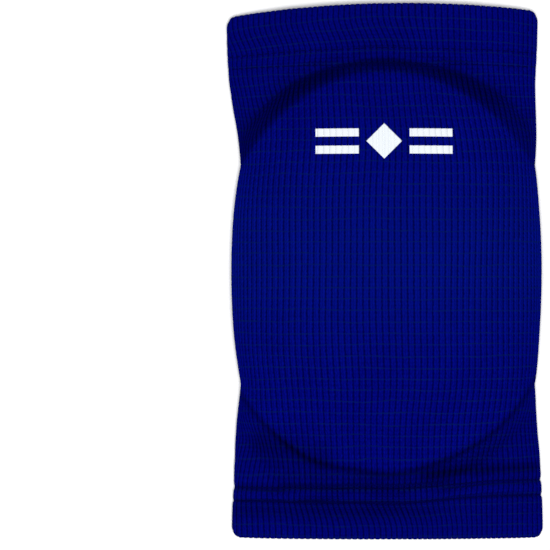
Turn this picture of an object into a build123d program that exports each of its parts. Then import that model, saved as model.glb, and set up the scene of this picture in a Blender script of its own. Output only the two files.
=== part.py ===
from build123d import *
import math
import os

# Slip-on elbow pad, lying flat on its back with the arm passage along Y.
# X is across the arm, +Y is the upper-arm end, +Z is the padded front. All sizes in millimetres.
# The origin is at the centre of the flat back face, where the pad rests on a table.

# Sleeve tube
LENGTH = 214.0
HALF_WIDTH = 62.4
SIDE_HEIGHT = 8.0          # height of the widest point above the table
MOUTH_HEIGHT = 18.0
KNIT = 1.3                 # thickness of one layer of rib knit
GAP = 0.3                  # clearance between soft pieces that lie together

# Padded oval
PAD_HALF_LENGTH = 80.6
PAD_HALF_WIDTH = 71.0      # the oval is wider than the sleeve, so it wraps round both sides
PAD_SIDE = 62.0            # half the width of the arch that the pad bends into
PAD_CROWN = 43.0
PAD_END_DROP = 12.0        # how much lower the pad's outer face is at the ends of the oval
ARM_END_DROP = 4.0         # and its inner face, against the arm
RIM_SLOPE = 0.6            # how far the oval's rim slopes in for each millimetre of height
IMPACT_FOAM = 11.5         # thickness of each foam at the crown
COMFORT_FOAM = 6.0
IMPACT_FOAM_EDGE = 3.8     # and at the sides
COMFORT_FOAM_EDGE = 3.0
LINING = 1.0
SEAM_FROM_RIM = 5.0        # distance of the pocket's seam from the rim of the oval

# Turned hems
HEM_TURN = 26.0            # length of fabric turned inside at each end
ELASTIC_THICK = 1.0
ELASTIC_WIDTH = 14.0
ELASTIC_FROM_EDGE = 2.0
STITCH_FROM_EDGE = 18.0    # first row of the twin-needle seam
STITCH_GAUGE = 6.4         # distance between its two rows
THREAD_WIDTH = 0.8
THREAD_THICK = 0.4

# Label and printed emblem
LABEL_WIDTH = 12.0
LABEL_LENGTH = 18.0
LABEL_THICK = 0.8
LABEL_MIDDLE = -47.0       # it lies to one side, clear of the arm's way in
EMBLEM_MIDDLE = 51.0       # distance up the sleeve from the middle
EMBLEM_THICK = 0.3
EMBLEM_CLEAR = 0.05        # the print lies just clear of the knit
EMBLEM_DIAMOND = 7.0       # half-diagonal of the middle diamond
EMBLEM_BAR = (17.0, 3.2)   # length and height of the bars on each side of it
EMBLEM_BAR_MIDDLE = 18.5
EMBLEM_BAR_SPREAD = 3.4    # half the distance between the two bars of a pair

HALF = LENGTH / 2
HEM_LAYERS = 2 * KNIT + ELASTIC_THICK + 2 * GAP


def tube(depth, low=-HALF, high=HALF):
    """Solid bounded by the sleeve's outer face set in by depth, between two places along Y."""
    half_width = HALF_WIDTH - depth
    corner = SIDE_HEIGHT - depth
    flat = half_width - corner
    right_corner = CenterArc((flat, SIDE_HEIGHT), corner, 0, -90)
    left_corner = CenterArc((-flat, SIDE_HEIGHT), corner, 180, 90)
    back = Line((-flat, depth), (flat, depth))
    crown = MOUTH_HEIGHT - SIDE_HEIGHT - depth
    front = EllipticalCenterArc((0, SIDE_HEIGHT), half_width, crown, 0, arc_size=180)
    profile = make_face([right_corner, back, left_corner, front])
    return extrude(Plane.XZ * profile, -(high - low)).translate((0, low, 0))


def ring(low, high, outer, inner):
    """Band of the sleeve wall between two distances from its outer face."""
    return tube(outer, low, high) - tube(inner, low - 1, high + 1)


def arch(side, crown, end_drop):
    """Block with an arched top that also curves down towards its ends along Y."""
    foot = SIDE_HEIGHT
    low = foot - 2 * PAD_END_DROP
    front = EllipticalCenterArc((0, foot), side, crown - foot, 0, arc_size=180)
    under = Polyline((-side, foot), (-side, low), (side, low), (side, foot))
    profile = Plane.XZ * make_face([front, under])
    radius = (PAD_HALF_LENGTH ** 2 + end_drop ** 2) / (2 * end_drop)
    axis = Axis((0, 0, crown - radius), (1, 0, 0))
    reach = math.degrees(math.asin((PAD_HALF_LENGTH + 15) / radius))
    return revolve(profile.rotate(axis, -reach), axis, 2 * reach)


def oval(inset):
    """Oval with a sloping rim that trims the pad to its outline, set in by inset."""
    faces = []
    for height in (0, PAD_CROWN + 2):
        in_from_foot = inset + RIM_SLOPE * (height - MOUTH_HEIGHT)
        outline = Ellipse(PAD_HALF_WIDTH - in_from_foot, PAD_HALF_LENGTH - in_from_foot)
        faces.append(Pos(0, 0, height) * outline.face())
    return loft(faces, ruled=True)


def above(height):
    """Everything above a height."""
    return Pos(0, 0, height) * Box(300, 400, 100, align=(Align.CENTER, Align.CENTER, Align.MIN))


def pad(depth, oval_inset, foot):
    """Solid bounded by the pad's outer face set in by depth, above a height."""
    return arch(PAD_SIDE - depth, PAD_CROWN - depth, PAD_END_DROP) & oval(oval_inset) & above(foot)


def build_sleeve():
    """Rib-knit tube with the bulge that holds the pad and a turned hem at each end."""
    outer = tube(0) + pad(0, 0, SIDE_HEIGHT + GAP)
    hollow = tube(KNIT, -HALF - 1, HALF + 1) + pad(KNIT, KNIT, SIDE_HEIGHT + KNIT)
    sleeve = outer - hollow
    for end in (-1, 1):
        edge = end * HALF
        turn_low, turn_high = sorted((edge, edge - end * HEM_TURN))
        sleeve += ring(turn_low, turn_high, KNIT / 2, HEM_LAYERS)
        slot_low, slot_high = sorted((edge - end * KNIT, edge - end * (HEM_TURN + 1)))
        sleeve -= ring(slot_low, slot_high, KNIT, HEM_LAYERS - KNIT)
        for row in range(2):
            middle = edge - end * (STITCH_FROM_EDGE + row * STITCH_GAUGE)
            half = THREAD_WIDTH / 2 + GAP
            sleeve -= ring(middle - half, middle + half, -1, THREAD_THICK + 2 * GAP)
    return sleeve


def build_thread_row(end, row):
    """Needle thread lying in the outer face of a hem, all the way round."""
    middle = end * (HALF - STITCH_FROM_EDGE - row * STITCH_GAUGE)
    half = THREAD_WIDTH / 2
    return ring(middle - half, middle + half, GAP, GAP + THREAD_THICK)


def build_looper_thread(end):
    """Looper thread inside a hem, joining the two needle rows."""
    first = end * (HALF - STITCH_FROM_EDGE + 1)
    last = end * (HALF - STITCH_FROM_EDGE - STITCH_GAUGE - 1)
    low, high = sorted((first, last))
    depth = HEM_LAYERS + GAP
    return ring(low, high, depth, depth + THREAD_THICK)


def build_elastic(end):
    """Elastic band inside a turned hem."""
    first = end * (HALF - KNIT - ELASTIC_FROM_EDGE)
    last = first - end * ELASTIC_WIDTH
    low, high = sorted((first, last))
    return ring(low, high, KNIT + GAP, KNIT + GAP + ELASTIC_THICK)


def build_pad_layers():
    """Foams, pocket lining and its seam, from the front of the pad to the arm."""
    foot = SIDE_HEIGHT + KNIT + GAP
    depths = (IMPACT_FOAM, COMFORT_FOAM, LINING, THREAD_THICK)
    edges = (IMPACT_FOAM_EDGE, COMFORT_FOAM_EDGE, LINING, THREAD_THICK)
    side = PAD_SIDE - KNIT - GAP
    crown = PAD_CROWN - KNIT - GAP
    drop = PAD_END_DROP
    block = arch(side, crown, drop) & oval(KNIT + GAP) & above(foot)
    layers = []
    for thick, edge in zip(depths, edges):
        side -= edge
        crown -= thick
        drop = max(ARM_END_DROP, drop - thick / 2)
        layers.append(block - arch(side, crown, drop))
        side -= GAP
        crown -= GAP
        block = block & arch(side, crown, drop)
    layers[-1] &= oval(SEAM_FROM_RIM) - oval(SEAM_FROM_RIM + THREAD_WIDTH)
    return layers


def build_label():
    """Folded care label inside the lower hem, on the back layer."""
    label = Box(LABEL_WIDTH, LABEL_LENGTH, LABEL_THICK, align=(Align.CENTER, Align.MIN, Align.MIN))
    height = HEM_LAYERS + GAP + THREAD_THICK + GAP
    near_edge = -HALF + STITCH_FROM_EDGE + STITCH_GAUGE - LABEL_LENGTH
    return Pos(LABEL_MIDDLE, near_edge, height) * label


def build_emblem():
    """Plain printed mark on the upper pad: a diamond between two pairs of bars."""
    square = EMBLEM_DIAMOND * math.sqrt(2)
    diamond = Rotation(0, 0, 45) * Rectangle(square, square)
    shapes = [diamond]
    for side in (-1, 1):
        for row in (-1, 1):
            spot = Pos(side * EMBLEM_BAR_MIDDLE, row * EMBLEM_BAR_SPREAD)
            shapes.append(spot * Rectangle(*EMBLEM_BAR))
    face = EMBLEM_CLEAR
    outer = face + EMBLEM_THICK
    skin = arch(PAD_SIDE + outer, PAD_CROWN + outer, PAD_END_DROP)
    skin -= arch(PAD_SIDE + face, PAD_CROWN + face, PAD_END_DROP)
    marks = []
    for shape in shapes:
        post = extrude(Pos(0, EMBLEM_MIDDLE, SIDE_HEIGHT + 6) * shape, 60)
        marks.append(skin & post)
    return Compound(children=[mark.solid() for mark in marks])


def save(shape, node):
    """Write one node's STEP file."""
    export_step(shape, f"parts/{node}.step")


os.makedirs("parts", exist_ok=True)
save(build_sleeve(), "outer_sleeve")
pad_nodes = ("impact_foam", "comfort_foam", "pocket_lining", "pocket_seam_thread")
for node, layer in zip(pad_nodes, build_pad_layers()):
    save(layer, node)
for name, end in (("upper", 1), ("lower", -1)):
    save(build_elastic(end), f"{name}_hem_elastic")
    save(build_thread_row(end, 0), f"{name}_hem_outer_thread")
    save(build_thread_row(end, 1), f"{name}_hem_inner_thread")
    save(build_looper_thread(end), f"{name}_hem_looper_thread")
save(build_label(), "care_label")
save(build_emblem(), "front_emblem")
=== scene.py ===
import math

import bmesh
import bpy
import numpy as np
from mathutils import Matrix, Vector
from mathutils.bvhtree import BVHTree


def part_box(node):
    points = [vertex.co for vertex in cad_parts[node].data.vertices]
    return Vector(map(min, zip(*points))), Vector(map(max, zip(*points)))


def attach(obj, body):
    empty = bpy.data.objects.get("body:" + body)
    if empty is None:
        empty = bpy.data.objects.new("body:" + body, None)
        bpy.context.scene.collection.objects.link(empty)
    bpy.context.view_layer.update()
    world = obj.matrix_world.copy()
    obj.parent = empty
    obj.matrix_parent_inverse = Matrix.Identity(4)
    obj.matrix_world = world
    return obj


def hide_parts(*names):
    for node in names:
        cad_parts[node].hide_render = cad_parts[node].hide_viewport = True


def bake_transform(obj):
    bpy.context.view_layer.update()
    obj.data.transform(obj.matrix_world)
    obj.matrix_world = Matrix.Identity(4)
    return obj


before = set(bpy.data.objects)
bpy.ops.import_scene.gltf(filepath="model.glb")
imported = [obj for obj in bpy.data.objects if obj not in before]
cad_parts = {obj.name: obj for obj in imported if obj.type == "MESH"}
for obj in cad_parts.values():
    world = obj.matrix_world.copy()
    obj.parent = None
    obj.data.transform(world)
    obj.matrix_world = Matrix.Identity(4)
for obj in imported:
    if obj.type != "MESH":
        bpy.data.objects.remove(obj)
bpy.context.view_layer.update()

# A slip-on elbow pad: a rib-knit sleeve over an oval foam pad. Shapes are worked out in millimetres in the
# frame's own axes (X across the arm, +Y to the upper arm, +Z out of the padded front) and turned into metres
# when a mesh is made.

MM = 0.001
UPPER, LOWER = "upper_arm_half", "forearm_half"
rng = np.random.default_rng(7)


def cad_box(node):
    """Lowest and highest corner of a CAD node in millimetres."""
    low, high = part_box(node)
    return np.array(low) / MM, np.array(high) / MM


# ---------------------------------------------------------------- sizes, from the frame
HEM_HALF_WIDTH, HALF_LENGTH, PAD_TOP = cad_box("outer_sleeve")[1]
stitch_low, stitch_high = cad_box("upper_hem_outer_thread")
STITCH_ROW = (stitch_low[1] + stitch_high[1]) / 2
inner_low, inner_high = cad_box("upper_hem_inner_thread")
STITCH_ROW_2 = (inner_low[1] + inner_high[1]) / 2
elastic_low, elastic_high = cad_box("upper_hem_elastic")
label_low, label_high = cad_box("care_label")
emblem_low, emblem_high = cad_box("front_emblem")

# ---------------------------------------------------------------- knit and shape
RIBS = 118
STEPS_PER_RIB = 6
RIB_DEPTH = 0.62
COURSE = 1.5
KNIT = 1.2
WAIST_HALF_WIDTH = 58.9
PAD_SIDE_BULGE = 3.2
UPPER_WAIST = 42.0
LOWER_WAIST = 45.5
MOUTH_HEIGHT = 15.0
HEM_SIDE_HEIGHT = 6.5
PAD_SIDE_HEIGHT = 11.0
PAD_HALF_WIDTH = 71.0
PAD_HALF_LENGTH = 80.6
RIM_STEP = 13.5
RIM_LIP = 3.0
CORNER_RADIUS = 2.6
HEM_TURN = 26.0
HEM_THICK = 3.6
OUTER_ROWS = 160
INNER_ROWS = 60
SEAM_DENT = 0.8
STITCH = 3.0
STITCH_STEPS = 8
STITCH_TOP = {1: -0.2, -1: -0.6}
THREAD_RADIUS = 0.22
ELASTIC_COLUMNS = 228
PAD_SHARE = 0.925            # how much of the oval the foams fill
POCKET_SEAM_SHARE = 0.86     # how far out in the oval the pocket's seam lies
POCKET_STITCH = 3.2
FOAM_LAYERS = (              # node, thickness in the middle, how much thinner at the rim, rim's swell, fill
    ("impact_foam", 11.0, 5.5, 0.9, 0.95),
    ("comfort_foam", 6.0, 3.0, 0.7, 0.85),
)
FOAM_GAP = 0.25
LINING_THICK = 0.9
LABEL_CLOTH = 0.18
LABEL_ROWS = 14

# ---------------------------------------------------------------- cloth simulation
CLOTH_ROWS = 90
CLOTH_FRAMES = 20
CLOTH_SLACK = 0.022
CLOTH_PRESSURE = 1.0
CLOTH_CAP = 1.2              # furthest that it may move a point
CLOTH_SMOOTHING = 2
SIDE_FADE = (0.78, 0.14)     # where across the width its movement starts to fade, and over how much

# ---------------------------------------------------------------- emblem
EMBLEM_PROUD = 0.12
EMBLEM_SHIFT = -1.6
EMBLEM_BAR_LENGTH = 17.0
EMBLEM_BAR_HEIGHT = 3.2
EMBLEM_BAR_SPREAD = 3.4

# ---------------------------------------------------------------- lights and camera, in metres
WORLD_LIGHT = 0.32
KEY_PLACE = (-0.02, -0.1, 1.7)
KEY_TARGET = (0, 0, 0.02)
KEY_SIZE = 0.3
KEY_POWER = 28
PICTURE = 0.2189             # height of the view where the pad lies
DISTANCE = 1.6
CAMERA_SIDE = -0.0446
CAMERA_DOWN = -0.0018
SENSOR = 36


def smooth(x):
    """Smooth step from 0 to 1."""
    x = np.clip(x, 0.0, 1.0)
    return x * x * (3 - 2 * x)


def bell(distance, width):
    """1 at no distance, falling smoothly to 0 on both sides."""
    return np.exp(-((distance / width) ** 2))


def lower_part(y):
    """0 over the upper part of the pad, 1 over its lower part."""
    return smooth((20 - y) / 40)


def oval_radius(x, y):
    """Distance from the middle of the pad's oval as a share of the way to its rim."""
    return np.sqrt((x / PAD_HALF_WIDTH) ** 2 + (y / PAD_HALF_LENGTH) ** 2)


def half_width(y):
    """Half the flat width of the sleeve at y, with a waist at each end of the pad's side."""
    waist = UPPER_WAIST if y > 0 else LOWER_WAIST
    past = np.clip((abs(y) - waist) / (HALF_LENGTH - waist), 0, 1)
    tube = WAIST_HALF_WIDTH + (HEM_HALF_WIDTH - WAIST_HALF_WIDTH) * math.sin(past * math.pi / 2)
    inside = min(1.0, abs(y) / waist)
    return tube + PAD_SIDE_BULGE * (1 - inside ** 2) ** 0.9


def sideways(y):
    """How far the sleeve's middle lies to the right of the origin at y."""
    at_waists = 0.6 * bell(abs(y) - 45, 14)
    upper = -1.6 * smooth((y - 50) / 30)
    lower = 0.5 * smooth((-y - 55) / 25)
    return at_waists + upper + lower


def beyond_rim(x, y):
    """Distance outside the pad's oval, negative inside it."""
    radius = oval_radius(x, y)
    steepness = np.hypot(x / PAD_HALF_WIDTH ** 2, y / PAD_HALF_LENGTH ** 2) / np.maximum(radius, 0.2)
    return (radius - 1) / np.maximum(steepness, 0.01)


def rim_fall(x, y):
    """Where the pad's edge starts to fall, and over what width."""
    right = smooth((x - 8) / 40)
    left = smooth((-x - 8) / 30)
    low = lower_part(y)
    upper_width = 7.4 + 3.4 * right + 0.8 * left
    lower_width = 9.4 + 4.4 * left
    return -2.2 + (4.5 * left + 2.2 * right - 1.3) * low, upper_width + (lower_width - upper_width) * low


def crease(x, y, start, end, width):
    """Straight valley in the cloth, 1 along its middle and fading at its ends."""
    (x0, y0), (x1, y1) = start, end
    length = math.hypot(x1 - x0, y1 - y0)
    along = ((x - x0) * (x1 - x0) + (y - y0) * (y1 - y0)) / length
    aside = ((x - x0) * (y1 - y0) - (y - y0) * (x1 - x0)) / length
    fade = smooth(along / 8 + 0.5) * smooth((length - along) / 8 + 0.5)
    return fade * bell(aside, width)


def crown_height(x, y):
    """Height of the front layer over the middle of the section, with the pad under it."""
    beyond = beyond_rim(x, y)
    start, width = rim_fall(x, y)
    lip = RIM_LIP * lower_part(y)
    broad = (RIM_STEP - lip) * (1 - smooth((beyond - start) / width))
    crisp = lip * (1 - smooth((beyond - start) / 2.4))
    step = broad + crisp
    inside = np.clip(oval_radius(x, y), 0, 1)
    crown = (PAD_TOP - MOUTH_HEIGHT - 1.0 - RIM_STEP) * (1 - inside ** 2.4)
    ends = smooth((abs(y) - 20) / 40)
    depth = 2.2 if y > 0 else 1.3
    valley = depth * ends * bell(beyond - start - width, 3.0)
    folds = 1.3 * crease(x, y, (20, -79), (60, -78), 2.2)
    folds = folds + 1.2 * crease(x, y, (-52, -66), (-36, -73), 2.4)
    folds = folds + 0.7 * crease(x, y, (-60, 72), (-50, 60), 2.2)
    folds = folds + 0.6 * crease(x, y, (34, 74), (58, 60), 3.0)
    band = (0.7 if y > 0 else 1.1) * bell(abs(y) - (STITCH_ROW + STITCH_ROW_2) / 2, 2.4)
    if y > 0:
        swell = 0.6 * smooth((y - STITCH_ROW) / 8)
    else:
        swell = (2.4 - 1.6 * smooth((x - 10) / 40)) * smooth((-y - STITCH_ROW - 1) / 9)
    return MOUTH_HEIGHT + step + crown - valley - folds + band + swell


SECTION_STEPS = 1600
ROUND = np.linspace(0.5 * math.pi, 2.5 * math.pi, SECTION_STEPS + 1)
OVER_FRONT = np.linspace(0.0, math.pi, SECTION_STEPS // 2 + 1)


def section(y, angle=ROUND, plain=False):
    """Cross-section of the sleeve's outer face at y, as x and z. ROUND starts at the front's middle.

    The plain section has a low even dome in place of the pad, and is what the ribs are spaced on.
    """
    cos, sin = np.cos(angle), np.sin(angle)
    padded = smooth(1.15 - 1.1 * abs(y) / PAD_HALF_LENGTH)
    side = HEM_SIDE_HEIGHT + (PAD_SIDE_HEIGHT - HEM_SIDE_HEIGHT) * padded
    power = np.where(sin >= 0, 2.15 + 0.35 * padded, 3.6)
    x = np.sign(cos) * np.abs(cos) ** (2 / power) * half_width(y)
    rise = np.abs(sin) ** (2 / power)
    dome = (PAD_TOP - MOUTH_HEIGHT) * (1 - smooth((abs(y) - 32) / 68))
    top = MOUTH_HEIGHT + dome if plain else crown_height(x, y)
    z = np.where(sin >= 0, side + (top - side) * rise, side - side * rise)
    return x, z


def length_along(x, z):
    """Running length of a line of points, starting at 0."""
    return np.concatenate([[0], np.cumsum(np.hypot(np.diff(x), np.diff(z)))])


COLUMNS = RIBS * STEPS_PER_RIB
WOBBLES = rng.uniform(0, 2 * math.pi, (5, 2))


def rib_lean(x, z, y):
    """How far the ribs are pulled to the right on the front, in millimetres."""
    upper = -4.2 * smooth((y - STITCH_ROW + 1) / 15) * smooth((28 - x) / 26)
    lower = 3.4 * smooth((-y - STITCH_ROW) / 15) * bell(x + 4, 34)
    out = smooth((abs(x) - 12) / 36)
    gather = smooth((86 - abs(y)) / 30) * smooth((abs(y) - 24) / 18) * out
    most = np.where(x < 0, np.where(y > 0, 5.0, 9.0), np.where(y > 0, -0.6, -3.4))
    start, width = rim_fall(x, y)
    outside = smooth((beyond_rim(x, y) - start - 0.2 * width) / width)
    return (upper + lower + most * gather * outside) * smooth(1.3 * z / HEM_SIDE_HEIGHT - 0.2)


def rib_angles(y, columns):
    """Where each column of knit lies round the section at y."""
    x, z = section(y, plain=True)
    length = length_along(x, z)
    share = np.arange(columns) / columns
    signed = share - (share > 0.5)
    unpinched = (WAIST_HALF_WIDTH + PAD_SIDE_BULGE) / half_width(y) - 1
    to_back = np.clip((abs(signed) - 0.22) / 0.28, 0, 1)
    at = signed * (1 + unpinched * (1 - to_back)) * length[-1]
    for k, (first, second) in enumerate(WOBBLES):
        along = y / (9.0 + 4 * k) + second
        at = at + 0.14 * np.sin((k + 2) * 2 * math.pi * share + first + along)
    at = at % length[-1]
    lean = rib_lean(np.interp(at, length, x), np.interp(at, length, z), y)
    return np.interp((at - lean) % length[-1], length, ROUND)


def painted_shade_map(points, y):
    """Painted shade, 0 to 1: least over the pad, most in the folds and creases beside it, by the pad's rim,
    near the lower hem and along the seams.
    """
    x, z = points[..., 0], points[..., 2]
    start, width = rim_fall(x, y)
    beyond = beyond_rim(x, y) - start
    outside = smooth(beyond / 6 + 0.3)
    right = smooth((x + 4) / 24)
    falling = smooth(beyond / 2.4 + 0.6)
    by_rim = falling * bell(np.maximum(beyond - 0.5 * width, 0), 0.4 * width + 1.0)
    upper_share = 0.35 + 0.6 * smooth((abs(x) - 10) / 25) - 0.25 * smooth((x - 38) / 15)
    lower_share = 0.1 + 0.08 * smooth((abs(x) - 8) / 16)
    aside = np.where(y > 0, upper_share, lower_share)
    hem = 0.28 * bell(y + 95, 4.5) * (1 - 0.75 * smooth((x - 2) / 30))
    fold = 0.5 * crease(x, y, (14, -79), (62, -78), 1.8)
    fold = fold + 0.3 * crease(x, y, (-54, -68), (-22, -74), 5.0)
    edge = 0.34 * lower_part(y) * bell(beyond - 1.0, 1.1)
    seams = bell(abs(y) - STITCH_ROW, 0.9) + bell(abs(y) - STITCH_ROW_2, 0.9)
    seams = seams * np.where(y > 0, 0.05, 0.5 - 0.16 * right)
    plain = 0.1 - 0.07 * smooth(x / 30) * smooth(y / 30)
    on_front = smooth(z / 5 - 0.6)
    return (plain * outside + 0.48 * by_rim * aside + hem + fold + edge + seams) * on_front


def edge_drop(x, y):
    """How far the cloth is pulled along Y: arched mouths, round corners, an uneven lower seam."""
    upper = -5.4 * ((x - 10) / 72) ** 2
    lower = 0.3 * (x / 61) ** 4 - 0.4
    hem = np.where(y > 0, upper, lower) * smooth((abs(y) - 70) / 30)
    into_corner = np.clip(abs(x) - (HEM_HALF_WIDTH - CORNER_RADIUS), 0, CORNER_RADIUS)
    corner = CORNER_RADIUS - np.sqrt(CORNER_RADIUS ** 2 - into_corner ** 2)
    corner = -np.sign(y) * corner * smooth((abs(y) - 98) / 9)
    seam = (-4.5 + 3.2 * smooth((x - 4) / 45)) * bell(y + 84.5, 8)
    return hem + corner + seam


def shaped_row(y, columns=COLUMNS):
    """Ring of points at y of the sleeve's outer face before the cloth settles."""
    x, z = section(y, rib_angles(y, columns))
    return np.stack([x + sideways(y), y + edge_drop(x, y), z], axis=1)


def settled():
    """Cloth simulation of the bare tube: where its rows lie, and how far each of its points moves.

    The pad, the seams, the mouths and the back on the table hold the cloth. What is loose between them puffs.
    The movement is capped, smoothed and faded out towards the sides, so that the outline stays smooth.
    """
    rows = np.linspace(HALF_LENGTH, -HALF_LENGTH, CLOTH_ROWS)
    tube = np.stack([shaped_row(float(y), RIBS) for y in rows])
    faces, _, _ = grid_faces(CLOTH_ROWS, RIBS, False, True)
    cage = make_object("cloth_cage", tube, faces)
    held = smooth(1 - beyond_rim(tube[:, :, 0], rows[:, None]) / 3)
    held = np.where(tube[:, :, 2] > PAD_SIDE_HEIGHT, held, 0.0)
    held = np.maximum(held, smooth(1.6 - tube[:, :, 2]))
    for row in (HALF_LENGTH, STITCH_ROW, STITCH_ROW_2):
        held = np.maximum(held, 0.9 * smooth(1.5 - abs(abs(rows[:, None]) - row)))
    group = cage.vertex_groups.new(name="held")
    for index, weight in enumerate(held.ravel().tolist()):
        group.add([index], weight, "REPLACE")
    modifier = cage.modifiers.new("settle", "CLOTH")
    cloth = modifier.settings
    cloth.vertex_group_mass = "held"
    cloth.mass = 0.1
    cloth.quality = 6
    cloth.tension_stiffness = cloth.compression_stiffness = 10
    cloth.shear_stiffness = 4
    cloth.bending_stiffness = 0.2
    cloth.shrink_min = -CLOTH_SLACK
    cloth.use_pressure = True
    cloth.uniform_pressure_force = CLOTH_PRESSURE
    cloth.effector_weights.gravity = 0
    for frame_number in range(1, CLOTH_FRAMES + 1):
        bpy.context.scene.frame_set(frame_number)
    graph = bpy.context.evaluated_depsgraph_get()
    flat = np.empty(CLOTH_ROWS * RIBS * 3, np.float32)
    cage.evaluated_get(graph).data.vertices.foreach_get("co", flat)
    moved = flat.reshape(tube.shape) / MM - tube
    far = np.linalg.norm(moved, axis=2, keepdims=True)
    moved *= np.minimum(1, CLOTH_CAP / np.maximum(far, 1e-6))
    for _ in range(CLOTH_SMOOTHING):
        moved = (np.roll(moved, -1, axis=1) + 2 * moved + np.roll(moved, 1, axis=1)) / 4
        moved[1:-1] = (moved[:-2] + 2 * moved[1:-1] + moved[2:]) / 4
    sides = abs(tube[:, :, 0]) / abs(tube[:, :, 0]).max(axis=1, keepdims=True)
    fade_start, fade_width = SIDE_FADE
    moved *= (1 - smooth((sides - fade_start) / fade_width))[:, :, None]
    mesh = cage.data
    bpy.data.objects.remove(cage)
    bpy.data.meshes.remove(mesh)
    bpy.context.scene.frame_set(1)
    return rows[::-1], moved[::-1]


SETTLED = {}


def base_row(y, columns=COLUMNS):
    """Ring of points of the smooth outer face at y, one for each column of knit."""
    if not SETTLED:
        SETTLED["rows"], SETTLED["moved"] = settled()
    rows, moved = SETTLED["rows"], SETTLED["moved"]
    at = np.clip(np.interp(y, rows, np.arange(len(rows))), 0, len(rows) - 1.001)
    share = at - int(at)
    ring = moved[int(at)] * (1 - share) + moved[int(at) + 1] * share
    ring = np.concatenate([ring, ring[:1]])
    place = np.arange(columns) / columns * RIBS
    shift = [np.interp(place, np.arange(RIBS + 1), ring[:, axis]) for axis in range(3)]
    return shaped_row(y, columns) + np.stack(shift, axis=1)


def straight_y(points):
    """Where points of the cloth would lie along Y on a straight tube."""
    straight = points[..., 1]
    for _ in range(5):
        straight = points[..., 1] - edge_drop(points[..., 0] - sideways(straight), straight)
    return straight


def sheet_rows(ys, columns=COLUMNS):
    """Smooth outer face as an array (row, column, 3)."""
    return np.stack([base_row(float(y), columns) for y in ys])


def even_rows(points, count):
    """The same sheet with its rows evenly spaced along each column's own length."""
    step = np.linalg.norm(np.diff(points, axis=0), axis=2)
    along = np.concatenate([np.zeros((1, points.shape[1])), np.cumsum(step, axis=0)])
    result = np.empty((count, points.shape[1], 3))
    for c in range(points.shape[1]):
        at = np.linspace(0, along[-1, c], count)
        for axis in range(3):
            result[:, c, axis] = np.interp(at, along[:, c], points[:, c, axis])
    return result


def unit(vectors):
    """Vectors at length 1."""
    return vectors / np.maximum(np.linalg.norm(vectors, axis=-1, keepdims=True), 1e-9)


def grid_normals(points, closed_rows):
    """Outward unit normals of a grid whose rows run from +Y to -Y and whose columns go round."""
    across = np.roll(points, -1, axis=1) - np.roll(points, 1, axis=1)
    if closed_rows:
        down = np.roll(points, -1, axis=0) - np.roll(points, 1, axis=0)
    else:
        down = np.gradient(points, axis=0)
    return unit(np.cross(across, down))


def ring_normals(rows):
    """Outward unit normals in each ring's own plane."""
    across = np.roll(rows, -1, axis=1) - np.roll(rows, 1, axis=1)
    across[:, :, 1] = 0
    return unit(np.cross(across, [0.0, -1.0, 0.0]))


# ---------------------------------------------------------------- mesh helpers
def make_object(name, points_mm, faces, uvs=None):
    """Smooth-shaded mesh object from points in millimetres. uvs holds a pair for each face corner."""
    mesh = bpy.data.meshes.new(name)
    points = np.asarray(points_mm, float).reshape(-1, 3) * MM
    mesh.from_pydata(points.tolist(), [], faces if isinstance(faces, list) else faces.tolist())
    if uvs is not None:
        layer = mesh.uv_layers.new(name="knit")
        layer.data.foreach_set("uv", np.asarray(uvs, np.float32).ravel())
    mesh.polygons.foreach_set("use_smooth", np.ones(len(mesh.polygons), bool))
    mesh.update()
    obj = bpy.data.objects.new(name, mesh)
    bpy.context.scene.collection.objects.link(obj)
    return obj


def grid_faces(rows, columns, closed_rows, closed_columns):
    """Quads of a grid of points, with the row and column of each corner for the UVs."""
    r = np.arange(rows if closed_rows else rows - 1)
    c = np.arange(columns if closed_columns else columns - 1)
    rr, cc = (side.ravel() for side in np.meshgrid(r, c, indexing="ij"))
    corner_rows = np.stack([rr, rr, rr + 1, rr + 1], axis=1)
    corner_columns = np.stack([cc, cc + 1, cc + 1, cc], axis=1)
    faces = (corner_rows % rows) * columns + corner_columns % columns
    return faces, corner_rows, corner_columns


def thread(name, path_mm, radius, outward, sides=6):
    """Round thread along a closed path of points in millimetres. outward is its side away from the cloth."""
    path = np.asarray(path_mm, float)
    tangent = unit(np.roll(path, -1, axis=0) - np.roll(path, 1, axis=0))
    side = unit(np.cross(tangent, outward))
    up = np.cross(side, tangent)
    angle = (np.arange(sides) / sides * 2 * math.pi)[None, :, None]
    ring = np.cos(angle) * side[:, None] + np.sin(angle) * up[:, None]
    faces, _, _ = grid_faces(len(path), sides, True, True)
    return make_object(name, path[:, None] + ring * radius, faces)


# ---------------------------------------------------------------- sleeve
def end_profile():
    """A turned hem's rows after its outer face: how far each reaches along Y and how deep it lies."""
    fold = HEM_THICK / 2
    edge = HALF_LENGTH - fold
    turn = HALF_LENGTH - HEM_TURN
    angle = np.linspace(0, math.pi, 8)[1:-1]
    near_turn = np.linspace(turn + 9, turn, 14)
    inward = np.concatenate([[edge], np.linspace(edge - 1, near_turn[0], 5)[:-1], near_turn])
    count = len(inward)
    runs = [
        (edge + fold * np.sin(angle), fold * (1 - np.cos(angle))),
        (inward, np.full(count, HEM_THICK)),
        ([turn - 0.35, turn - 0.35], [HEM_THICK - 0.3, HEM_THICK - KNIT + 0.3]),
        (inward[:0:-1], np.full(count - 1, HEM_THICK - KNIT)),
        ([edge - 0.4], [fold]),
        (inward[1:], np.full(count - 1, KNIT)),
    ]
    return tuple(np.concatenate(part) for part in zip(*runs))


def end_rows(way):
    """Rows of one end of the sleeve, from the fold at its edge to the bare inside of the tube."""
    reach, depth = end_profile()
    edge = HALF_LENGTH - HEM_THICK / 2
    rows = sheet_rows(way * np.minimum(reach, edge))
    rows -= ring_normals(rows) * depth[:, None, None]
    rows[:, :, 1] += way * np.maximum(reach - edge, 0)[:, None]
    return rows


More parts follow.
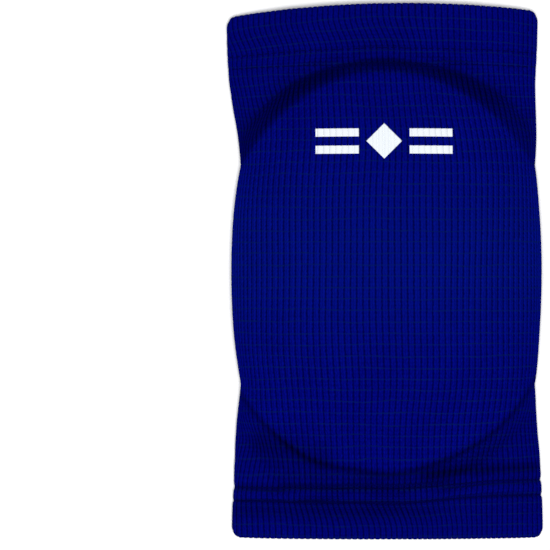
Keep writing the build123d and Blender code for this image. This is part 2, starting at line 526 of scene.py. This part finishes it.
def build_sleeve():
    """Rib-knit tube with its turned hems, as one closed skin with real ribs."""
    edge = HALF_LENGTH - HEM_THICK / 2
    turn = HALF_LENGTH - HEM_TURN
    near, far = STITCH_ROW_2 - 1.6, STITCH_ROW + 1.6
    hem_ys = np.concatenate([np.linspace(edge, far, 14)[:-1], np.linspace(far, near, 21)])
    middle = even_rows(sheet_rows(np.linspace(near, -near, 460)), OUTER_ROWS)
    outer = np.concatenate([sheet_rows(hem_ys), middle[1:-1], sheet_rows(-hem_ys[::-1])])
    inside = even_rows(sheet_rows(np.linspace(turn, -turn, 300)), INNER_ROWS)
    inside = (inside - grid_normals(inside, False) * KNIT)[::-1]
    grid = np.concatenate([outer, end_rows(-1), inside[1:-1], end_rows(1)[::-1]])
    phase = (np.arange(COLUMNS) % STEPS_PER_RIB) / STEPS_PER_RIB
    groove = 1 - np.sin(math.pi * phase) ** 0.62
    depth = np.full(len(grid), RIB_DEPTH * 0.45)
    depth[:len(outer)] = RIB_DEPTH
    sink = groove[None, :] * depth[:, None]
    seam_side = np.zeros(len(grid))
    seam_side[:len(hem_ys)] = hem_ys
    seam_side[len(outer) - len(hem_ys):len(outer)] = hem_ys[::-1]
    from_seam = np.minimum(abs(seam_side - STITCH_ROW), abs(seam_side - STITCH_ROW_2))
    on_front = smooth(grid[:, :, 2] / HEM_SIDE_HEIGHT - 0.8)
    dent = SEAM_DENT * np.where(grid[:, :1, 1] > 0, 0.35, 1.3) * (0.3 + 0.7 * on_front)
    sink += dent * bell(from_seam, 0.95)[:, None]
    points = grid - grid_normals(grid, True) * sink[:, :, None]
    points[:, :, 2] = np.maximum(points[:, :, 2], 0.0)
    faces, corner_rows, corner_columns = grid_faces(len(grid), COLUMNS, True, True)
    step = np.linalg.norm(np.roll(grid, -1, axis=0) - grid, axis=2)
    step[:len(outer) - 1] = -np.diff(straight_y(outer), axis=0)
    along = np.concatenate([np.zeros((1, COLUMNS)), np.cumsum(step, axis=0)]) / COURSE
    from_back = (corner_columns[:, :1] + COLUMNS // 2) % COLUMNS + corner_columns - corner_columns[:, :1]
    uvs = np.stack([from_back / STEPS_PER_RIB, along[corner_rows, corner_columns % COLUMNS]], axis=2)
    sleeve = make_object("rib_knit_sleeve", points, faces, uvs)
    # Painted shade map (folds, creases, the pad's rim, seams, lower hem), stored on the points to darken the
    # knit's colour.
    painted_shade = painted_shade_map(grid, straight_y(grid))
    # Painted highlight: strongest across the pad's middle, fading towards its ends and off the front.
    centre_highlight = bell(grid[:, :, 1] - 6, 34) * smooth(grid[:, :, 2] / PAD_SIDE_HEIGHT - 0.5)
    for name, values in (("painted_shade", painted_shade), ("pad_highlight", centre_highlight)):
        attribute = sleeve.data.attributes.new(name, "FLOAT", "POINT")
        attribute.data.foreach_set("value", values.ravel().astype(np.float32))
    return sleeve


# ---------------------------------------------------------------- seams
def stitched(ring, normals, stitch, over, under):
    """A closed line of thread that rises over the cloth between needle holes and dips into each hole."""
    closed = np.concatenate([ring, ring[:1]])
    along = np.concatenate([[0], np.cumsum(np.linalg.norm(np.diff(closed, axis=0), axis=1))])
    count = max(8, round(along[-1] / stitch))
    at = np.arange(count * STITCH_STEPS) / (count * STITCH_STEPS) * along[-1]
    where = [np.interp(at, along, closed[:, k]) for k in range(3)]
    closed_normals = np.concatenate([normals, normals[:1]])
    outward = unit(np.stack([np.interp(at, along, closed_normals[:, k]) for k in range(3)], axis=1))
    phase = np.arange(len(at)) / STITCH_STEPS * math.pi
    height = under + (over - under) * np.abs(np.sin(phase)) ** 0.6
    return np.stack(where, axis=1) + outward * height[:, None], outward, phase


def build_hem_seam(name, way, body):
    """The two needle threads and the looper thread of one hem."""
    made = []
    for node, row in (("outer", STITCH_ROW), ("inner", STITCH_ROW_2)):
        ring = sheet_rows([way * row])
        path, outward, _ = stitched(ring[0], ring_normals(ring)[0], STITCH, STITCH_TOP[way], -1.2)
        path[:, 2] = np.maximum(path[:, 2], THREAD_RADIUS)
        made.append(thread(f"{name}_hem_{node}_stitches", path, THREAD_RADIUS, outward))
        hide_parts(f"{name}_hem_{node}_thread")
    middle, half = (STITCH_ROW + STITCH_ROW_2) / 2, (STITCH_ROW - STITCH_ROW_2) / 2
    ring = sheet_rows([way * middle])
    depth = -HEM_THICK - THREAD_RADIUS
    path, outward, phase = stitched(ring[0], ring_normals(ring)[0], STITCH, depth, depth - 0.1)
    path[:, 1] += half * np.clip(1.25 * np.sin(phase), -1, 1)
    made.append(thread(f"{name}_hem_looper_zigzag", path, THREAD_RADIUS * 0.9, outward))
    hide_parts(f"{name}_hem_looper_thread")
    for piece in made:
        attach(piece, body)
    return made


def build_elastic(name, way, body):
    """Woven elastic band inside a turned hem."""
    near, far = elastic_low[1] + 0.5, elastic_high[1] - 0.5
    top, bottom = KNIT + 0.15, HEM_THICK - KNIT - 0.15
    count = 22
    across = np.linspace(near, far, count)
    reach = np.concatenate([across, across[::-1]])
    depth = np.concatenate([np.full(count, top), np.full(count, bottom)])
    depth[[0, count - 1]] += 0.2
    depth[[count, 2 * count - 1]] -= 0.2
    rows = sheet_rows(way * reach, ELASTIC_COLUMNS)
    rows -= ring_normals(rows) * depth[:, None, None]
    faces, corner_rows, corner_columns = grid_faces(len(rows), ELASTIC_COLUMNS, True, True)
    uvs = np.stack([corner_columns / 2.0, corner_rows * 1.0], axis=2)
    band = outward_facing(make_object(f"{name}_hem_elastic_band", rows, faces, uvs))
    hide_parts(f"{name}_hem_elastic")
    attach(band, body)
    return band


# ---------------------------------------------------------------- padding
def front_strip(y, limit, count):
    """Evenly spaced points of the front of the section at y, from +X to -X, with their outward normals."""
    x, z = section(y, OVER_FRONT)
    keep = (abs(x) <= limit) & (z >= PAD_SIDE_HEIGHT)
    x, z = x[keep], z[keep]
    length = length_along(x, z)
    at = np.linspace(0, length[-1], count)
    px, pz = np.interp(at, length, x), np.interp(at, length, z)
    points = np.stack([px, np.full(count, y), pz], axis=1)
    slope = np.stack([np.gradient(px), np.zeros(count), np.gradient(pz)], axis=1)
    return points, unit(np.cross([0.0, 1.0, 0.0], slope))


def pad_grid(share, rows, count):
    """Points, outward normals and distance from the middle, 0 to 1, over a share of the pad's oval."""
    ys = PAD_HALF_LENGTH * share * np.sin(np.linspace(-0.5, 0.5, rows) * math.pi * 0.985)
    points, normals = [], []
    for y in ys:
        limit = PAD_HALF_WIDTH * share * math.sqrt(1 - (y / (PAD_HALF_LENGTH * share)) ** 2)
        strip_points, strip_normals = front_strip(y, limit, count)
        points.append(strip_points)
        normals.append(strip_normals)
    points, normals = np.array(points), np.array(normals)
    along = points[:, :, 1] / (PAD_HALF_LENGTH * share)
    across = np.linspace(-1, 1, count)[None, :] * np.sqrt(1 - along ** 2)
    return points, normals, np.sqrt(along ** 2 + across ** 2)


def rim_of(grid):
    """Points round the border of a grid, once."""
    return np.concatenate([grid[0, :-1], grid[:-1, -1], grid[-1, :0:-1], grid[:0:-1, 0]])


def closed_pad(name, outer, inner, bulge, rim_rows=4):
    """Closed form from its two faces, with a rounded rim between them."""
    rows, count = outer.shape[:2]
    index = np.arange(rows * count).reshape(rows, count)
    faces, _, _ = grid_faces(rows, count, False, False)
    top = faces.tolist()
    under = (faces[:, ::-1] + rows * count).tolist()
    points = [outer.reshape(-1, 3), inner.reshape(-1, 3)]
    first, last = rim_of(outer), rim_of(inner)
    round_rim = unit(np.roll(first, -1, axis=0) - np.roll(first, 1, axis=0))
    outward = unit(np.cross(round_rim, unit(last - first)))
    middle = outer.reshape(-1, 3).mean(axis=0)
    outward *= np.sign(np.sum(outward * (first - middle), axis=1))[:, None]
    rings = [rim_of(index)]
    start = 2 * rows * count
    for k in range(1, rim_rows):
        share = k / rim_rows
        points.append(first * (1 - share) + last * share + outward * bulge * math.sin(share * math.pi))
        rings.append(start + (k - 1) * len(first) + np.arange(len(first)))
    rings.append(rim_of(index) + rows * count)
    rings = np.array(rings)
    side = np.stack(
        [rings[:-1], np.roll(rings[:-1], -1, axis=1), np.roll(rings[1:], -1, axis=1), rings[1:]], axis=2
    )
    all_faces = top + under + side.reshape(-1, 4).tolist()
    all_points = np.concatenate(points)
    uvs = all_points[np.array(all_faces).ravel(), :2]
    return outward_facing(make_object(name, all_points, all_faces, uvs))


def outward_facing(obj):
    """Turns the faces of a closed mesh outwards."""
    bm = bmesh.new()
    bm.from_mesh(obj.data)
    bmesh.ops.recalc_face_normals(bm, faces=bm.faces)
    bm.to_mesh(obj.data)
    bm.free()
    return obj


def build_padding():
    """The two foams, the pocket lining and the pocket's seam, from the front of the pad to the arm."""
    points, normals, radius = pad_grid(PAD_SHARE, 60, 72)
    near_rim = smooth((radius - 0.55) / 0.45)[..., None]
    depth = KNIT + RIB_DEPTH * 0.3 + 0.2
    layers = []
    for node, thick, thinner, swell, fill in FOAM_LAYERS:
        outer = points - normals * depth
        depth = depth + (thick - thinner * near_rim)
        pad = closed_pad(f"{node}_pad", outer, points - normals * depth, swell)
        depth = depth + FOAM_GAP
        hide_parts(node)
        layers.append(pad)
    outer = points - normals * depth
    depth = depth + LINING_THICK
    lining = closed_pad("pocket_lining_knit", outer, points - normals * depth, 0.1, 2)
    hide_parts("pocket_lining")
    seam_points, seam_normals, _ = pad_grid(POCKET_SEAM_SHARE, 40, 48)
    seam_depth = float(np.mean(depth[radius > 0.9]))
    ring = rim_of(seam_points - seam_normals * seam_depth)
    path, outward, _ = stitched(ring, -rim_of(seam_normals), POCKET_STITCH, 0.45, -0.4)
    seam = thread("pocket_seam_stitches", path, THREAD_RADIUS, outward)
    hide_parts("pocket_seam_thread")
    return layers + [lining, seam]


# ---------------------------------------------------------------- label and emblem
def build_label():
    """Folded care label, plain, lying inside the lower hem."""
    width = label_high[0] - label_low[0]
    middle = (label_high[0] + label_low[0]) / 2
    back, front = label_high[1], label_low[1] + 0.6
    low, high = label_low[2] + 0.1, label_high[2] + 0.1
    fold = np.linspace(-0.5, 0.5, 7)[1:-1] * math.pi
    half = (high - low) / 2
    there = np.linspace(back, front, LABEL_ROWS)
    back_again = np.linspace(front, back, LABEL_ROWS)
    ys = np.concatenate([there, front - half * np.cos(fold), back_again])
    round_fold = low + half + half * np.sin(fold)
    zs = np.concatenate([np.full(LABEL_ROWS, low), round_fold, np.full(LABEL_ROWS, high)])
    zs = zs + 0.5 * np.sin((ys - front) / (back - front) * math.pi) * (zs > low + half)
    tangent = unit(np.stack([np.gradient(ys), np.gradient(zs)], axis=1))
    normal = np.stack([-tangent[:, 1], tangent[:, 0]], axis=1) * LABEL_CLOTH / 2
    loop_y = np.concatenate([ys + normal[:, 0], (ys - normal[:, 0])[::-1]])
    loop_z = np.concatenate([zs + normal[:, 1], (zs - normal[:, 1])[::-1]])
    across = np.linspace(-width / 2, width / 2, 13)
    points = np.array([[(middle + x, y, z) for y, z in zip(loop_y, loop_z)] for x in across])
    faces, _, _ = grid_faces(len(across), len(loop_y), False, True)
    faces = faces.tolist()
    count, last = len(ys), (len(across) - 1) * len(loop_y)
    for k in range(count - 1):
        a, b, c, d = k, k + 1, 2 * count - 2 - k, 2 * count - 1 - k
        faces.append([a, b, c, d])
        faces.append([last + d, last + c, last + b, last + a])
    label = outward_facing(make_object("care_label_ribbon", points, faces))
    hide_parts("care_label")
    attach(label, LOWER)
    return label


def emblem_outlines():
    """The emblem's plain shapes as grids of points in the plane: a diamond between two pairs of bars."""
    middle = (emblem_low[1] + emblem_high[1]) / 2
    half_height = (emblem_high[1] - emblem_low[1]) / 2
    bar_middle = emblem_high[0] - EMBLEM_BAR_LENGTH / 2
    u, v = np.meshgrid(np.linspace(-1, 1, 41), np.linspace(-1, 1, 41))
    x = (u + v) / 2 * half_height + EMBLEM_SHIFT
    shapes = [np.stack([x, (v - u) / 2 * half_height + middle], axis=2)]
    u, v = np.meshgrid(np.linspace(-0.5, 0.5, 69), np.linspace(-0.5, 0.5, 14))
    for side in (-1, 1):
        for row in (-1, 1):
            x = side * bar_middle + u * EMBLEM_BAR_LENGTH + EMBLEM_SHIFT
            y = middle + row * EMBLEM_BAR_SPREAD + v * EMBLEM_BAR_HEIGHT
            shapes.append(np.stack([x, y], axis=2))
    return shapes


def build_emblem(cloth):
    """Thin print that follows the ribs."""
    mesh = cloth.data
    tree = BVHTree.FromPolygons([v.co for v in mesh.vertices], [p.vertices for p in mesh.polygons])
    points, faces = [], []
    for shape in emblem_outlines():
        rows, count = shape.shape[:2]
        start = len(points)
        hits = []
        for x, y in shape.reshape(-1, 2):
            place, normal, _, _ = tree.ray_cast(Vector((x * MM, y * MM, 0.1)), Vector((0, 0, -1)))
            hits.append((np.array(place) / MM, np.array(normal)))
        top = [place + normal * EMBLEM_PROUD for place, normal in hits]
        under = [place - normal * EMBLEM_PROUD for place, normal in hits]
        points += top + under
        quads, _, _ = grid_faces(rows, count, False, False)
        index = np.arange(rows * count).reshape(rows, count)
        rim = rim_of(index)
        faces += (quads + start).tolist()
        faces += (quads[:, ::-1] + start + rows * count).tolist()
        side = np.stack([rim, np.roll(rim, -1), np.roll(rim, -1) + rows * count, rim + rows * count], axis=1)
        faces += (side + start).tolist()
    emblem = outward_facing(make_object("front_emblem_print", points, faces))
    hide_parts("front_emblem")
    return emblem


# ---------------------------------------------------------------- materials
class Nodes:
    """Short calls for building a material's node tree."""

    def __init__(self, name, roughness, sheen=0.0, sheen_tint=(1, 1, 1)):
        self.material = bpy.data.materials.new(name)
        self.material.use_nodes = True
        self.tree = self.material.node_tree
        self.shader = self.tree.nodes["Principled BSDF"]
        self.shader.inputs["Roughness"].default_value = roughness
        self.shader.inputs["Specular IOR Level"].default_value = 0.12
        self.shader.inputs["Sheen Weight"].default_value = sheen
        self.shader.inputs["Sheen Roughness"].default_value = 0.45
        self.shader.inputs["Sheen Tint"].default_value = (*sheen_tint, 1)

    def put(self, socket, value):
        """Links a node's output to a socket, or sets the socket to a plain value."""
        if isinstance(value, bpy.types.NodeSocket):
            self.tree.links.new(value, socket)
        else:
            socket.default_value = value

    def math(self, operation, a, b=0.0, c=0.0, clamp=False):
        """Math node."""
        node = self.tree.nodes.new("ShaderNodeMath")
        node.operation = operation
        node.use_clamp = clamp
        for socket, value in zip(node.inputs, (a, b, c)):
            self.put(socket, value)
        return node.outputs[0]

    def ramp(self, value, low, high):
        """Smooth 0 to 1 as value goes from low to high."""
        node = self.tree.nodes.new("ShaderNodeMapRange")
        node.interpolation_type = "SMOOTHSTEP"
        self.put(node.inputs["Value"], value)
        node.inputs["From Min"].default_value = low
        node.inputs["From Max"].default_value = high
        return node.outputs["Result"]

    def mix(self, factor, first, second):
        """Colour between first and second."""
        node = self.tree.nodes.new("ShaderNodeMix")
        node.data_type = "RGBA"
        self.put(node.inputs["Factor"], factor)
        for socket, value in ((node.inputs["A"], first), (node.inputs["B"], second)):
            self.put(socket, (*value, 1) if isinstance(value, tuple) else value)
        return node.outputs["Result"]

    def place(self):
        """The point's own coordinates on the object at rest."""
        return self.tree.nodes.new("ShaderNodeTexCoord").outputs["Object"]

    def knit_coordinates(self):
        """Rib number and course number from the knit's UV map."""
        node = self.tree.nodes.new("ShaderNodeUVMap")
        node.uv_map = "knit"
        split = self.tree.nodes.new("ShaderNodeSeparateXYZ")
        self.tree.links.new(node.outputs["UV"], split.inputs[0])
        return split.outputs["X"], split.outputs["Y"]

    def vector(self, x, y):
        """Coordinates from two values."""
        node = self.tree.nodes.new("ShaderNodeCombineXYZ")
        self.put(node.inputs[0], x)
        self.put(node.inputs[1], y)
        return node.outputs[0]

    def attribute(self, name):
        """Value stored on the mesh under a name."""
        node = self.tree.nodes.new("ShaderNodeAttribute")
        node.attribute_name = name
        return node.outputs["Fac"]

    def noise(self, scale, detail=2.0, vector=None):
        """Noise from 0 to 1 at a scale in features a metre."""
        node = self.tree.nodes.new("ShaderNodeTexNoise")
        node.inputs["Scale"].default_value = scale
        node.inputs["Detail"].default_value = detail
        self.tree.links.new(vector or self.place(), node.inputs["Vector"])
        return node.outputs["Fac"]

    def voronoi(self, scale):
        """Distance to the nearest of scattered points."""
        node = self.tree.nodes.new("ShaderNodeTexVoronoi")
        node.inputs["Scale"].default_value = scale
        self.tree.links.new(self.place(), node.inputs["Vector"])
        return node.outputs["Distance"]

    def bump(self, height, distance, strength=1.0):
        """Bump on the shader from a height of 0 to 1 over a distance in metres."""
        node = self.tree.nodes.new("ShaderNodeBump")
        node.inputs["Strength"].default_value = strength
        node.inputs["Distance"].default_value = distance
        self.tree.links.new(height, node.inputs["Height"])
        self.tree.links.new(node.outputs["Normal"], self.shader.inputs["Normal"])

    def colour(self, value):
        """Base colour."""
        self.put(self.shader.inputs["Base Color"], (*value, 1) if isinstance(value, tuple) else value)
        return self.material


# Colour of the painted highlight over the pad's middle.
HIGHLIGHT_BLUE = (0.0010, 0.0100, 0.200)
# groove is painted shade for the recesses between and within the ribs and for the painted fold shade; light
# is the painted highlight on the loops' crests, also used for random lighter mottle and fuzz.
SLEEVE_TONES = {
    "groove": (0.0001, 0.0002, 0.016),
    "ridge": (0.0003, 0.0006, 0.122),
    "light": (0.0008, 0.0034, 0.226),
    "inlay_tone": (0.001, 0.008, 0.080),
}
# The lining's tones follow the same scheme: groove is painted shade, light is painted highlight and mottle.
LINING_TONES = {
    "groove": (0.0001, 0.0002, 0.01),
    "ridge": (0.0004, 0.001, 0.08),
    "light": (0.0005, 0.004, 0.13),
    "inlay_tone": (0.002, 0.008, 0.05),
}


def knit_material(name, groove, ridge, light, inlay_tone):
    """One-by-one rib knit: V-shaped loops along each rib, grooves and split lines darkened with painted
    shade, painted highlights on the loops and over the pad, and faint rows of inlaid elastic.
    """
    n = Nodes(name, 0.9, sheen=0.008, sheen_tint=(0.0, 0.08, 1.0))
    n.shader.inputs["Specular IOR Level"].default_value = 0.0
    rib, course = n.knit_coordinates()
    phase = n.math("FRACT", rib)
    crest = n.math("SINE", n.math("MULTIPLY", phase, math.pi))
    uneven = n.math("MULTIPLY_ADD", n.noise(700.0, 2.0), 0.22, -0.61)
    off_middle = n.math("ABSOLUTE", n.math("ADD", phase, uneven))
    leg = n.math("ADD", course, n.math("MULTIPLY", off_middle, 1.1))
    loop = n.math("SINE", n.math("MULTIPLY", leg, 2 * math.pi))
    loop = n.math("MULTIPLY_ADD", loop, 0.5, 0.5)
    split = n.ramp(off_middle, 0.0, 0.11)
    in_groove = n.ramp(n.math("MULTIPLY_ADD", loop, -0.04, off_middle), 0.29, 0.44)
    sway = n.vector(n.math("MULTIPLY", rib, 0.09), n.math("MULTIPLY", course, 0.12))
    swayed = n.math("MULTIPLY_ADD", n.noise(1.0, 2.0, sway), 2.2, course)
    inlay = n.math("SINE", n.math("MULTIPLY", swayed, 2 * math.pi / 3))
    inlay = n.ramp(inlay, 0.86, 1.0)
    spread = n.vector(n.math("MULTIPLY", rib, 0.45), n.math("MULTIPLY", course, 0.7))
    streaks = n.noise(1.0, 3.0, spread)
    patches = n.noise(60.0, 3.0)
    fibres = n.vector(n.math("MULTIPLY", rib, 4.0), n.math("MULTIPLY", course, 1.2))
    grain = n.noise(1.0, 3.0, fibres)
    fuzz = n.noise(2600.0, 2.0)
    # Painted highlight on the crests of the loops along each rib, plus random mottle from the patches and
    # grain noise.
    loop_highlight_and_mottle = n.math("MULTIPLY_ADD", n.math("MULTIPLY", loop, crest), 0.22, n.math("MULTIPLY", patches, 0.5))
    loop_highlight_and_mottle = n.math("ADD", loop_highlight_and_mottle, n.math("MULTIPLY_ADD", grain, 1.7, -0.85), clamp=True)
    tone = n.mix(loop_highlight_and_mottle, ridge, light)
    # Painted highlight: the knit turns lighter and bluer over the pad's middle.
    tone = n.mix(n.math("MULTIPLY", n.attribute("pad_highlight"), 0.3), tone, HIGHLIGHT_BLUE)
    # Painted shade in the split down each rib's middle and in the grooves between the ribs.
    tone = n.mix(n.math("MULTIPLY_ADD", split, -0.34, 0.34), tone, groove)
    tone = n.mix(n.math("MULTIPLY", in_groove, 0.76), tone, groove)
    row = n.math("MULTIPLY", n.math("MULTIPLY_ADD", n.ramp(streaks, 0.35, 0.7), 0.45, 0.32), inlay)
    tone = n.mix(row, tone, inlay_tone)
    tone = n.mix(n.math("MULTIPLY", n.ramp(fuzz, 0.45, 0.75), 0.12), tone, light)
    # Painted shade: the knit's colour is mixed towards the dark groove tone where the painted shade map is
    # high, most away from the ribs' crests.
    closed = n.math("MULTIPLY", n.attribute("painted_shade"), n.math("MULTIPLY_ADD", crest, -1.0, 1.75), clamp=True)
    tone = n.mix(closed, tone, groove)
    height = n.math("MULTIPLY", n.math("MULTIPLY", loop, split), crest)
    height = n.math("ADD", height, n.math("MULTIPLY", fuzz, 0.35))
    n.bump(height, 0.00022)
    return n.colour(tone)


def foam_material(name, dark, light, cell):
    """Cut foam: small open cells with slightly uneven colour."""
    n = Nodes(name, 0.95)
    cells = n.voronoi(cell)
    # Painted shade in the open cells: darker at each cell's middle, lighter at its walls; the noise below
    # adds uneven colour.
    tone = n.mix(n.ramp(cells, 0.05, 0.6), dark, light)
    tone = n.mix(n.math("MULTIPLY", n.noise(45.0), 0.3), tone, dark)
    n.bump(cells, 0.0004)
    return n.colour(tone)


def thread_material():
    """Twisted polyester thread."""
    n = Nodes("thread_twist", 0.6)
    n.shader.inputs["Specular IOR Level"].default_value = 0.0
    wave = n.tree.nodes.new("ShaderNodeTexWave")
    wave.inputs["Scale"].default_value = 900.0
    wave.bands_direction = "DIAGONAL"
    n.tree.links.new(n.place(), wave.inputs["Vector"])
    n.bump(wave.outputs["Fac"], 0.00008)
    # The wave's lighter bands are painted highlights on the twist's ridges, its darker bands painted shade
    # between them.
    return n.colour(n.mix(wave.outputs["Fac"], (0.0002, 0.0006, 0.030), (0.0004, 0.002, 0.085)))


def elastic_material():
    """Woven elastic: fine lengthwise rubber ridges crossed by white yarn."""
    n = Nodes("elastic_weave", 0.8)
    rib, course = n.knit_coordinates()
    ridge = n.math("ABSOLUTE", n.math("SINE", n.math("MULTIPLY", course, math.pi)))
    yarn = n.math("ABSOLUTE", n.math("SINE", n.math("MULTIPLY", rib, 2 * math.pi)))
    n.bump(n.math("MULTIPLY", ridge, yarn), 0.0002)
    # The colour follows the ridges only: painted shade, grey, between them and a painted highlight, white, on
    # their crests.
    return n.colour(n.mix(ridge, (0.45, 0.45, 0.43), (0.82, 0.82, 0.79)))


def label_material():
    """Blank white satin ribbon."""
    n = Nodes("label_satin", 0.4, sheen=0.1)
    wave = n.tree.nodes.new("ShaderNodeTexWave")
    wave.inputs["Scale"].default_value = 1600.0
    n.tree.links.new(n.place(), wave.inputs["Vector"])
    n.bump(wave.outputs["Fac"], 0.00003)
    return n.colour(n.mix(n.noise(300.0), (0.74, 0.74, 0.72), (0.84, 0.84, 0.82)))


def print_material():
    """Soft white print that has cracked a little and let the cloth show through."""
    n = Nodes("white_print", 0.6)
    cracks = n.ramp(n.noise(1500.0, 4.0), 0.05, 0.2)
    wear = n.ramp(n.noise(420.0, 3.0), 0.12, 0.28)
    n.bump(n.noise(2400.0), 0.0001)
    worn = n.math("MULTIPLY", cracks, wear, clamp=True)
    return n.colour(n.mix(worn, (0.10, 0.14, 0.36), (0.72, 0.76, 0.80)))


# ---------------------------------------------------------------- the pad
knit = knit_material("royal_rib_knit", **SLEEVE_TONES)
lining_knit = knit_material("lining_rib_knit", **LINING_TONES)
thread_finish = thread_material()
elastic_finish = elastic_material()

sleeve = build_sleeve()
sleeve.data.materials.append(knit)
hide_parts("outer_sleeve")

impact, comfort, lining, pocket_seam = build_padding()
impact.data.materials.append(foam_material("dense_foam", (0.02, 0.02, 0.022), (0.06, 0.06, 0.065), 1400.0))
comfort.data.materials.append(foam_material("soft_foam", (0.45, 0.42, 0.32), (0.75, 0.72, 0.62), 900.0))
lining.data.materials.append(lining_knit)
pocket_seam.data.materials.append(thread_finish)
emblem = build_emblem(sleeve)
emblem.data.materials.append(print_material())

for bending in (sleeve, impact, comfort, lining, pocket_seam, emblem):
    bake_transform(bending)

for name, way, body in (("upper", 1, UPPER), ("lower", -1, LOWER)):
    for piece in build_hem_seam(name, way, body):
        piece.data.materials.append(thread_finish)
    build_elastic(name, way, body).data.materials.append(elastic_finish)
build_label().data.materials.append(label_material())


# ---------------------------------------------------------------- floor, lights, camera
def build_floor():
    """Plain pale floor under the pad."""
    half = 3000.0
    points = [(-half, -half, 0), (half, -half, 0), (half, half, 0), (-half, half, 0)]
    floor = make_object("floor", points, [[0, 1, 2, 3]])
    n = Nodes("pale_floor", 0.9)
    floor.data.materials.append(n.colour(n.mix(n.noise(20.0), (0.88, 0.88, 0.88), (0.92, 0.92, 0.92))))


build_floor()
scene = bpy.context.scene
world = bpy.data.worlds.new("studio")
scene.world = world
world.use_nodes = True
background = world.node_tree.nodes["Background"]
background.inputs["Color"].default_value = (1, 1, 1, 1)
background.inputs["Strength"].default_value = WORLD_LIGHT
scene.view_settings.view_transform = "Standard"


def area_light(name, place, target, size, power):
    """Soft square light at place, turned to target."""
    data = bpy.data.lights.new(name, "AREA")
    data.size = size
    data.energy = power
    light = bpy.data.objects.new(name, data)
    light.location = place
    light.rotation_euler = (Vector(target) - Vector(place)).to_track_quat("-Z", "Y").to_euler()
    scene.collection.objects.link(light)


area_light("key", KEY_PLACE, KEY_TARGET, KEY_SIZE, KEY_POWER)
camera_data = bpy.data.cameras.new("camera")
camera = bpy.data.objects.new("camera", camera_data)
scene.collection.objects.link(camera)
scene.camera = camera
camera.location = (CAMERA_SIDE, CAMERA_DOWN, DISTANCE)
camera_data.sensor_width = SENSOR
camera_data.lens = SENSOR * (DISTANCE - 0.02) / PICTURE
